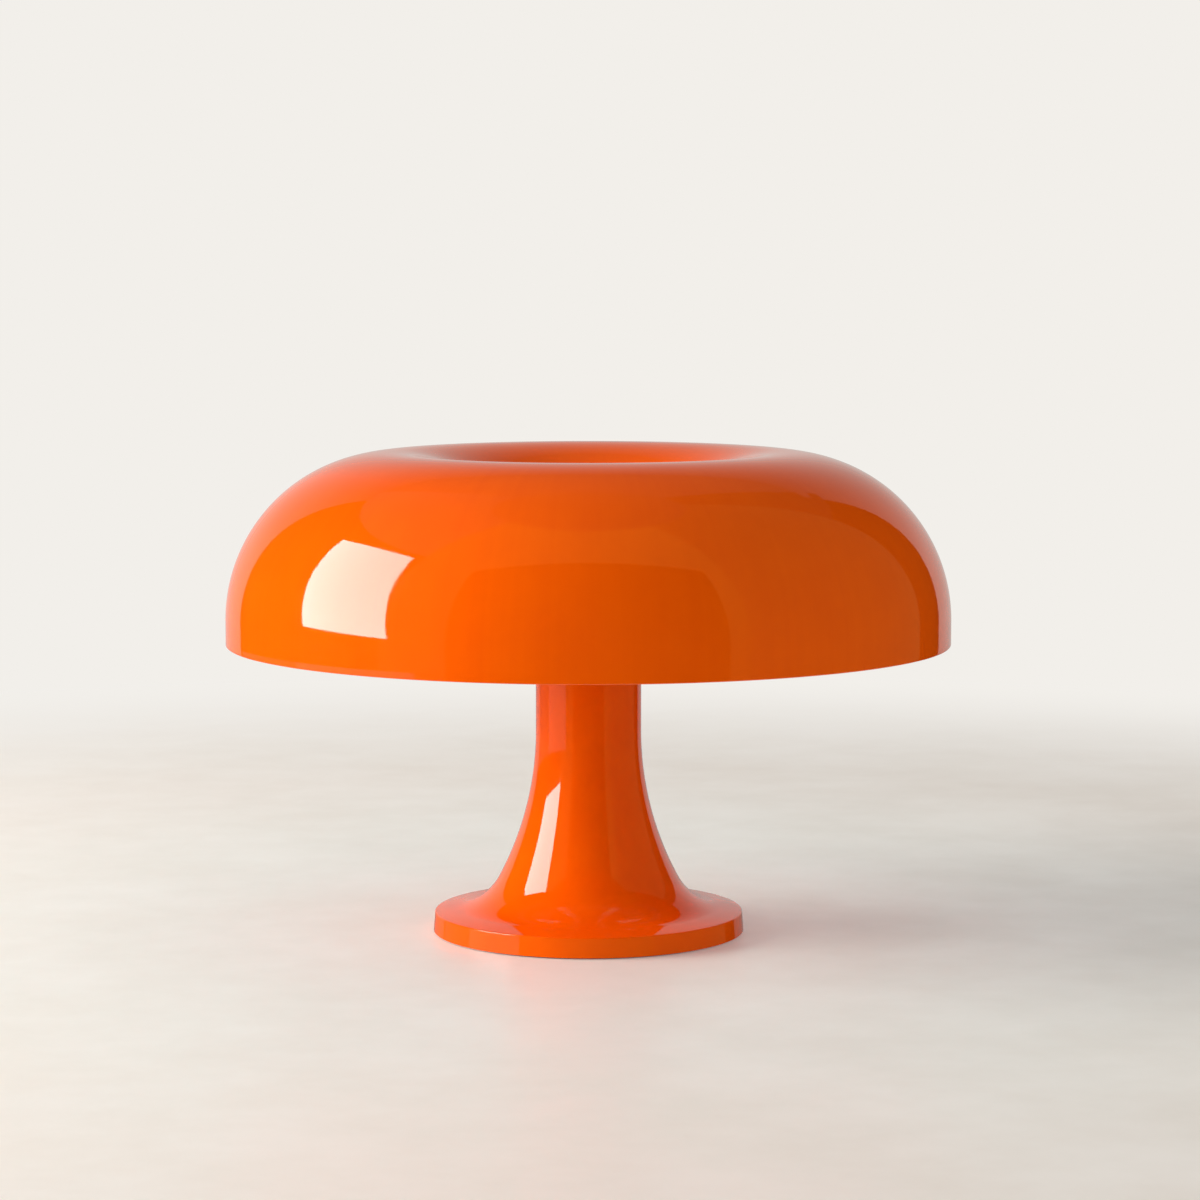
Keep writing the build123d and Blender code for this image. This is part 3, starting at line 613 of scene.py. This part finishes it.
# %% [markdown]
# ## Turned meshes
# The CAD's own mesh is fine for collision, but its flats would show in a mirror-like gloss.
# So the round pieces are turned again here from the same arcs: a closed section in radius and height
# is swept round the Z axis in small steps. Corners keep their edge by angle, and the rest is smooth.
# A reshape function may move the radius of any point, and that is enough for threads and flutes.

# %% Turning helpers
CORNER_ANGLE = 28


def arc(centre, radius, first, last, steps):
    """Points on an arc, angles in degrees from the outward direction, upwards."""
    turns = [math.radians(first + (last - first) * i / steps) for i in range(steps + 1)]
    return [(centre[0] + radius * math.cos(t), centre[1] + radius * math.sin(t)) for t in turns]


def joined(*runs):
    """One section from several runs of points, without the doubled joints."""
    section = []
    for run in runs:
        for point in run:
            if not section or math.dist(point, section[-1]) > 1e-4:
                section.append(point)
    if math.dist(section[0], section[-1]) < 1e-4:
        section.pop()
    return section


def smooth_with_corners(mesh, corner_angle):
    """Face normals outwards, smooth shading, and sharp edges where faces meet at a corner."""
    shape = bmesh.new()
    shape.from_mesh(mesh)
    bmesh.ops.remove_doubles(shape, verts=shape.verts, dist=2e-7)
    bmesh.ops.recalc_face_normals(shape, faces=shape.faces)
    shape.to_mesh(mesh)
    shape.free()
    mesh.polygons.foreach_set("use_smooth", [True] * len(mesh.polygons))
    mesh.set_sharp_from_angle(angle=math.radians(corner_angle))


def turned_piece(name, section, turns, material, corner_angle=CORNER_ANGLE, reshape=None, place=None):
    """Sweep a closed section of radius and height in millimetres round Z, then put it in place."""
    vertices, faces = [], []
    for i in range(turns):
        a = 2 * math.pi * i / turns
        for r, z in section:
            if reshape:
                r = reshape(r, z, a)
            vertices.append((r * MM * math.cos(a), r * MM * math.sin(a), z * MM))
    count = len(section)
    for i in range(turns):
        here, there = i * count, (i + 1) % turns * count
        for j in range(count):
            k = (j + 1) % count
            if max(section[j][0], section[k][0]) > 0:
                faces.append((here + j, there + j, there + k, here + k))
    mesh = bpy.data.meshes.new(name)
    mesh.from_pydata(vertices, [], faces)
    mesh.materials.append(material)
    made = put(name, mesh)
    smooth_with_corners(mesh, corner_angle)
    if place:
        mesh.transform(place)
    print(name, len(mesh.vertices), "points")
    return made


def keep(piece, body, node):
    """Tie a piece to its body and let it stand in for its CAD node."""
    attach(piece, body)
    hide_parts(node)


# %% [markdown]
# ## The shade
# One arc rises from the skirt to the crest, a second one falls from the crest down the funnel,
# and the inside follows them 3 mm further in. The skirt's low edge has the small rounding of a mould.
# It takes 384 steps round, because a mirror-like surface shows the slightest kink in its reflections.

# %% Shade
TURNS = 384
WALL = 3.0
SHADE, CREST, NECK = 270.0, 146.0, 36.5
RIM, RIM_ROUND = 218.5, 0.9
SKIRT_TOP = 236.5
NECK_TOP = 251.0
SHADE_FLOOR, SHADE_SEAT, SHADE_HOLE = 250.5, 246.5, 7.0

shade = turned_piece(
    "shade_moulding",
    joined(
        arc((SHADE - WALL + RIM_ROUND, RIM + RIM_ROUND), RIM_ROUND, 180, 270, 6),
        arc((SHADE - RIM_ROUND, RIM + RIM_ROUND), RIM_ROUND, 270, 360, 6),
        [(SHADE, 224), (SHADE, 230)],
        arc((CREST, SKIRT_TOP), SHADE - CREST, 0, 90, 110),
        arc((CREST, NECK_TOP), CREST - NECK, 90, 180, 80),
        [(NECK, SHADE_FLOOR), (SHADE_HOLE, SHADE_FLOOR), (SHADE_HOLE, SHADE_SEAT), (NECK + WALL, SHADE_SEAT)],
        arc((CREST, NECK_TOP), CREST - NECK - WALL, 180, 90, 80),
        arc((CREST, SKIRT_TOP), SHADE - CREST - WALL, 90, 0, 110),
        [(SHADE - WALL, 230), (SHADE - WALL, 224)],
    ),
    TURNS,
    abs_shade,
)
keep(shade, "shade", "shade")

# %% [markdown]
# ## The pedestal
# A straight stem runs into a long arc, the long arc into a tight one, and that one into a 6 degree slope.
# Each run starts in the direction where the last one ended, so the flare has no visible joint.
# The tight arc's radius isn't chosen: it is the only one that still meets the foot's edge.

# %% Pedestal section
FOOT = 116.5
STEM = NECK + WALL
LONG, LONG_TURN = 236.0, 28.3
SLOPE = 6.0
FLAT = 16.2
EDGE_LOW, EDGE_HIGH = 1.0, 16.5

END_TURN = 90 - SLOPE
long_cos, long_sin = math.cos(math.radians(LONG_TURN)), math.sin(math.radians(LONG_TURN))
end_cos, end_sin = math.cos(math.radians(END_TURN)), math.sin(math.radians(END_TURN))
TIGHT = (FOOT - STEM - FLAT - LONG * (1 - long_cos)) / (long_cos - end_cos)
flare_top = EDGE_HIGH + FLAT * math.tan(math.radians(SLOPE)) + TIGHT * (end_sin - long_sin) + LONG * long_sin
long_centre = (STEM + LONG, flare_top)
tight_centre = (long_centre[0] - (LONG - TIGHT) * long_cos, long_centre[1] - (LONG - TIGHT) * long_sin)
print("flare: tight radius", round(TIGHT, 2), "mm, starts at", round(flare_top, 2), "mm")


def flare(inset):
    """Both arcs of the flare, from the stem down to the foot's slope."""
    long_arc = arc(long_centre, LONG + inset, 180, 180 + LONG_TURN, 70)
    return long_arc + arc(tight_centre, TIGHT + inset, 180 + LONG_TURN, 180 + END_TURN, 60)[1:]


def rounded(corner_point, before, after, radius, steps):
    """A corner turned into an arc between the two directions that meet there."""
    c, b, a = Vector(corner_point), Vector(before), Vector(after)
    u, v = (b - c).normalized(), (a - c).normalized()
    half = u.angle(v) / 2
    centre = c + (u + v).normalized() * (radius / math.sin(half))
    start = c + u * (radius / math.tan(half)) - centre
    end = c + v * (radius / math.tan(half)) - centre
    return [tuple(centre + start.slerp(end, i / steps)) for i in range(steps + 1)]


# %% [markdown]
# The section is turned like the shade. Five screw posts are then joined on under the foot, and the holes cut:
# four for the leads in the stem's head, one for the button, one for the cord and a pilot in each post.
# All tools of one kind are one mesh, so each step is a single exact boolean.

# %% Pedestal
STEM_HEIGHTS = (232.0, 212.0, 192.0, 172.0)
HEAD_LOW = 228.0
TUBE_HOLE = 5.3
EDGE_ROUND, INNER_ROUND = 2.0, 0.5
POST_CIRCLE = 96
POST_ANGLES = [-90 + 72 * i for i in range(5)]
LAMP_ANGLES = [45 + 90 * i for i in range(4)]


def rods(name, places, segments=48):
    """One mesh of closed round rods, each from a radius, a start and an end in millimetres."""
    shape = bmesh.new()
    for radius, start, end in places:
        start, end = Vector(start) * MM, Vector(end) * MM
        way = end - start
        turn = way.to_track_quat("Z", "Y").to_matrix().to_4x4()
        bmesh.ops.create_cone(
            shape, cap_ends=True, segments=segments, radius1=radius * MM, radius2=radius * MM,
            depth=way.length, matrix=Matrix.Translation((start + end) / 2) @ turn,
        )
    mesh = bpy.data.meshes.new(name)
    shape.to_mesh(mesh)
    shape.free()
    return put(name, mesh)


def carve(target, tools, operation):
    """Apply one exact boolean and throw its tools away."""
    step = target.modifiers.new("carve", "BOOLEAN")
    step.operation = operation
    step.solver = "EXACT"
    step.object = tools
    evaluated = target.evaluated_get(bpy.context.evaluated_depsgraph_get())
    carved = bpy.data.meshes.new_from_object(evaluated)
    target.modifiers.remove(step)
    target.data = carved
    bpy.data.objects.remove(tools)
    smooth_with_corners(carved, CORNER_ANGLE)
    print(target.name, operation.lower(), "gives", len(carved.vertices), "points")


def upright(radius, circle, angle, low, high):
    """A rod for rods(), standing at an angle on a circle round the lamp's axis."""
    x, y = circle * math.cos(math.radians(angle)), circle * math.sin(math.radians(angle))
    return radius, (x, y, low), (x, y, high)


outer, inner = flare(0), flare(WALL)
foot_inside = FOOT - WALL
inner_drop = inner[-1][1] - (foot_inside - inner[-1][0]) * math.tan(math.radians(SLOPE))
stem_inside = STEM - WALL
pedestal = turned_piece(
    "pedestal_moulding",
    joined(
        [(STEM, z) for z in STEM_HEIGHTS],
        outer,
        rounded((FOOT, EDGE_HIGH), outer[-1], (FOOT, EDGE_LOW), EDGE_ROUND, 10),
        [(FOOT, EDGE_LOW), (foot_inside, EDGE_LOW)],
        rounded((foot_inside, inner_drop), (foot_inside, EDGE_LOW), inner[-1], INNER_ROUND, 3),
        list(reversed(inner)),
        [(stem_inside, STEM_HEIGHTS[-1]), (stem_inside, HEAD_LOW)],
        [(TUBE_HOLE, HEAD_LOW), (TUBE_HOLE, STEM_HEIGHTS[0])],
    ),
    TURNS,
    finishes["orange_moulding"],
)
carve(pedestal, rods("posts", [upright(3.6, POST_CIRCLE, a, 3.5, 17.3) for a in POST_ANGLES]), "UNION")
lead_holes = [upright(4.8, 22, a, 226, 234) for a in LAMP_ANGLES]
pilot_holes = [upright(1.5, POST_CIRCLE, a, 3.0, 13.5) for a in POST_ANGLES]
button_hole = upright(6.3, 104, 108, 5, 30)
cord_hole = (4.2, (0, 108, 8.6), (0, 120, 8.6))
carve(pedestal, rods("holes", [*lead_holes, *pilot_holes, button_hole, cord_hole], 64), "DIFFERENCE")
keep(pedestal, "lamp_base", "pedestal")

# %% [markdown]
# ## The cap nut
# A low round knob at the bottom of the funnel holds the shade down. Ten flutes give the fingers a grip.
# Each flute is a round groove, and the reshape function takes whichever is nearer the axis: knob or groove.
# A soft minimum rounds the ridge between them, as the polished mould does.

# %% Cap nut
FLUTES, FLUTE_RADIUS, FLUTE_CIRCLE = 10, 2.6, 17.56
FLUTES_FROM, SOFTNESS = 6, 0.2
KNOB, KNOB_LOW, KNOB_TOP, KNOB_ROUND = 16, 251.5, 270.5, 7
BORE_TOP = 264


def fluted(r, z, a):
    """The knob's radius, or less where a flute is nearer the axis."""
    if r < FLUTES_FROM:
        return r
    spread_angle = 2 * math.pi / FLUTES
    off = (a + spread_angle / 2) % spread_angle - spread_angle / 2
    inside = FLUTE_RADIUS**2 - (FLUTE_CIRCLE * math.sin(off)) ** 2
    if inside < 0:
        return r
    groove = FLUTE_CIRCLE * math.cos(off) - math.sqrt(inside)
    return r - SOFTNESS * math.log(1 + math.exp((r - groove) / SOFTNESS))


cap_nut = turned_piece(
    "cap_nut_moulding",
    joined(
        [(0, BORE_TOP), (TUBE_HOLE, BORE_TOP), (TUBE_HOLE, KNOB_LOW), (KNOB - 0.5, KNOB_LOW)],
        [(KNOB, z) for z in range(252, 263, 2)],
        arc((KNOB - KNOB_ROUND, KNOB_TOP - KNOB_ROUND), KNOB_ROUND, 0, 90, 30),
        [(7, KNOB_TOP), (3, KNOB_TOP), (0, KNOB_TOP)],
    ),
    300,
    finishes["orange_moulding"],
    reshape=fluted,
)
keep(cap_nut, "cap_nut", "shade_cap_nut")

# %% [markdown]
# ## The threaded tube
# A steel tube runs from the foot up to the cap nut and ties the lamp together, threaded M10 x 1 all along.
# A thread is a radius that follows a screw line: it rises by one pitch for each turn.
# So its phase is the height over the pitch, less the part of a turn.

# %% Tie tube
TUBE_OUT, TUBE_BEVEL, TUBE_IN = 5.0, 4.7, 4.0
TUBE_LOW, TUBE_HIGH = 15.0, 262.5
TUBE_PITCH, TUBE_DEPTH = 1.0, 0.55
BEVEL_HEIGHT = 0.3


def thread(pitch, depth, low, high):
    """A reshape function: a rounded right-hand thread cut into radii between low and high."""

    def reshape(r, z, a):
        if not low < z < high:
            return r
        phase = 2 * math.pi * (z / pitch) - a
        ends = min(1, (z - low) / pitch, (high - z) / pitch)
        return r - depth * ends * (0.5 - 0.5 * math.cos(phase))

    return reshape


tube_thread = thread(TUBE_PITCH, TUBE_DEPTH, TUBE_LOW + 0.4, TUBE_HIGH - 0.4)
steps = int((TUBE_HIGH - TUBE_LOW) / TUBE_PITCH * 5)
threaded = TUBE_HIGH - TUBE_LOW - 2 * BEVEL_HEIGHT
tube_outside = [(TUBE_OUT, TUBE_LOW + BEVEL_HEIGHT + threaded * i / steps) for i in range(steps + 1)]
tube_low_end = [(TUBE_IN, TUBE_HIGH), (TUBE_IN, TUBE_LOW), (TUBE_BEVEL, TUBE_LOW)]
tie_tube = turned_piece(
    "tie_tube_threaded",
    joined(tube_low_end, tube_outside, [(TUBE_BEVEL, TUBE_HIGH)]),
    32,
    finishes["zinc_plated_steel"],
    corner_angle=70,
    reshape=lambda r, z, a: tube_thread(r, z, a) if r > TUBE_BEVEL else r,
)
keep(tie_tube, "lamp_base", "tie_tube")

# %% [markdown]
# ## Bulbs and their screw shells
# Each holder points outwards and 20 degrees up. A bulb is an opal ball on a small 14 mm screw cap.
# The neck and the ball are two arcs that touch, and the glass is 0.8 mm thick.
# Cap and shell share one thread with a pitch of 2.82 mm, so crests and grooves lie inside each other.

# %% Bulbs
BALL, BULB_NECK, NECK_SWEEP, GLASS = 22.5, 8.3, 18.0, 0.8
NECK_HEIGHT = 36.5
CAP_PITCH, CAP_CREST = 2.82, 6.7
SHELL_IN, SHELL_OUT = 7.27, 7.5
LAMP_CIRCLE, LAMP_HEIGHT, LAMP_TILT = 57, 251, 20

reach = BALL + NECK_SWEEP
ball_height = NECK_HEIGHT + math.sqrt(reach**2 - (BULB_NECK + NECK_SWEEP) ** 2)
join_angle = math.degrees(math.asin((ball_height - NECK_HEIGHT) / reach))


def glass_run(inset):
    """Neck and ball of the bulb along one side of the glass, from the cap to the top."""
    neck = arc((BULB_NECK + NECK_SWEEP, NECK_HEIGHT), NECK_SWEEP + inset, 180, 180 - join_angle, 24)
    ball = arc((0, ball_height), BALL - inset, -join_angle, 90, 64)
    return neck + ball[1:-1] + [(0, ball_height + BALL - inset)]


glass_section = joined(glass_run(0), list(reversed(glass_run(GLASS))))
cap_thread = thread(CAP_PITCH, 0.6, 15.2, 30.6)
cap_section = joined(
    [(0, 11.7), (1.6, 11.8), (2.4, 12.1), (2.4, 12.5), (5.0, 14.3)],
    [(CAP_CREST, 14.9 + 16.1 * i / 70) for i in range(71)],
    [(9.0, 34.0), (9.0, 39.0), (8.6, 39.0), (8.6, 36.0), (0, 36.0)],
)
shell_thread = thread(CAP_PITCH, 0.22, 9.4, 29.9)
shell_heights = [9.3 + 20.7 * i / 90 for i in range(91)]
shell_section = [(SHELL_IN, z) for z in shell_heights] + [(SHELL_OUT, z) for z in reversed(shell_heights)]

for n, degrees in enumerate(LAMP_ANGLES, start=1):
    angle, tilt = math.radians(degrees), math.radians(LAMP_TILT)
    axis = Vector((math.cos(angle) * math.cos(tilt), math.sin(angle) * math.cos(tilt), math.sin(tilt)))
    foot = Vector((LAMP_CIRCLE * math.cos(angle), LAMP_CIRCLE * math.sin(angle), LAMP_HEIGHT)) * MM
    place = Matrix.Translation(foot) @ axis.to_track_quat("Z", "Y").to_matrix().to_4x4()
    glass = turned_piece(f"opal_bulb_{n}", glass_section, 96, finishes["opal_glass"], place=place)
    keep(glass, f"bulb_{n}", f"bulb_glass_{n}")
    cap = turned_piece(
        f"screw_cap_{n}", cap_section, 64, finishes["nickel_cap"], corner_angle=50, place=place,
        reshape=lambda r, z, a: cap_thread(r, z, a) if abs(r - CAP_CREST) < 0.01 else r,
    )
    keep(cap, f"bulb_{n}", f"bulb_cap_{n}")
    shell = turned_piece(
        f"holder_shell_{n}", shell_section, 64, finishes["brass_strip"], corner_angle=50, place=place,
        reshape=shell_thread,
    )
    keep(shell, "lamp_base", f"screw_shell_{n}")
